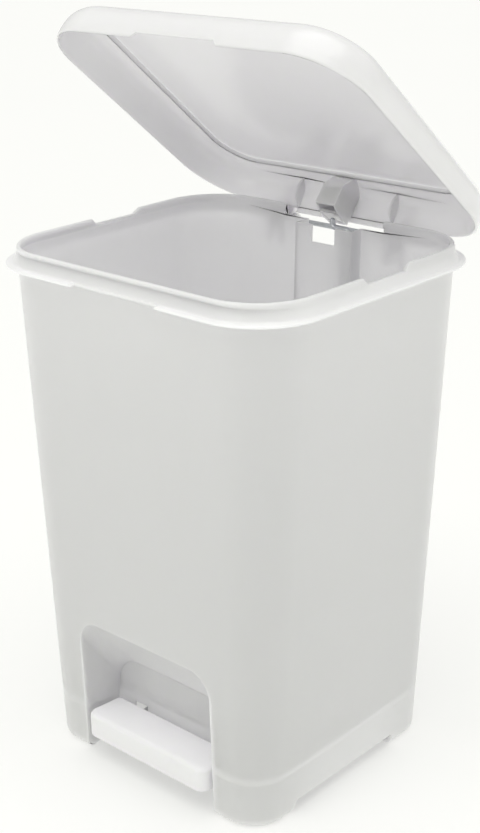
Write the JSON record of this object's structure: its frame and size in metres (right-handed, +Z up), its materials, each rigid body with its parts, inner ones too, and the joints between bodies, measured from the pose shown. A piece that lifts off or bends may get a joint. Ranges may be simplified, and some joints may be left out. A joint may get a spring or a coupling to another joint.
{
  "type": "pedal trash can",
  "caption": "Tapered white plastic bin with a rounded rectangular plan, hinged lid standing open, foot pedal in a front recess and a steel push rod in a rear groove.",
  "frame": {"origin": "bottom centre of the bounding box of the whole part with the lid open, on the ground plane", "axes": "+Z up, -Y towards the front where the pedal is, +X to the right-hand side seen from the front"},
  "size_m": [0.3144, 0.2948, 0.6311],
  "materials": {
    "body_white": "glossy",
    "lid_white": "glossy",
    "tread_white": "satin",
    "lever_white": "satin",
    "clip_white": "satin",
    "bracket_white": "satin",
    "zinc_wire": "galvanised",
    "cap_zinc": "galvanised",
    "rod_zinc": "galvanised",
    "collar_zinc": "galvanised",
    "screw_zinc": "zinc plated",
    "axle_zinc": "galvanised"
  },
  "bodies": {
    "bin": {"bin_body": "body_white", "hinge_wire": "zinc_wire", "hinge_cap_left": "cap_zinc", "hinge_cap_right": "cap_zinc", "rod_clip_lower": "clip_white", "rod_clip_upper": "clip_white", "clip_screw_lower": "screw_zinc", "clip_screw_upper": "screw_zinc", "axle_bracket_left": "bracket_white", "axle_bracket_right": "bracket_white", "bracket_screw_left_front": "screw_zinc", "bracket_screw_left_rear": "screw_zinc", "bracket_screw_right_front": "screw_zinc", "bracket_screw_right_rear": "screw_zinc"},
    "lid": {"lid": "lid_white"},
    "rod": {"push_rod": "rod_zinc", "rod_collar": "collar_zinc", "rod_keeper": "collar_zinc"},
    "pedal": {"pedal_lever": "lever_white", "pedal_tread": "tread_white", "tread_screw_left": "screw_zinc", "tread_screw_right": "screw_zinc", "lever_axle": "axle_zinc", "axle_cap_left": "cap_zinc", "axle_cap_right": "cap_zinc"}
  },
  "joints": [
    {"name": "lid_hinge", "type": "hinge", "parent": "bin", "child": "lid", "pos_m": [0, 0.13831, 0.4311], "axis": [1, 0, 0], "range_deg": [0, 39.7]},
    {"name": "rod_slide", "type": "slide", "parent": "bin", "child": "rod", "axis": [0, 0.0409, 0.9992], "range_m": [-0.019, 0]},
    {"name": "pedal_hinge", "type": "hinge", "parent": "bin", "child": "pedal", "pos_m": [0, -0.03209, 0.03], "axis": [1, 0, 0], "range_deg": [-8.4, 0]}
  ],
  "couplings": [
    {"joint": "rod_slide", "follows": "lid_hinge", "m_per_rad": -0.027205},
    {"joint": "pedal_hinge", "follows": "lid_hinge", "ratio": -0.20907}
  ]
}
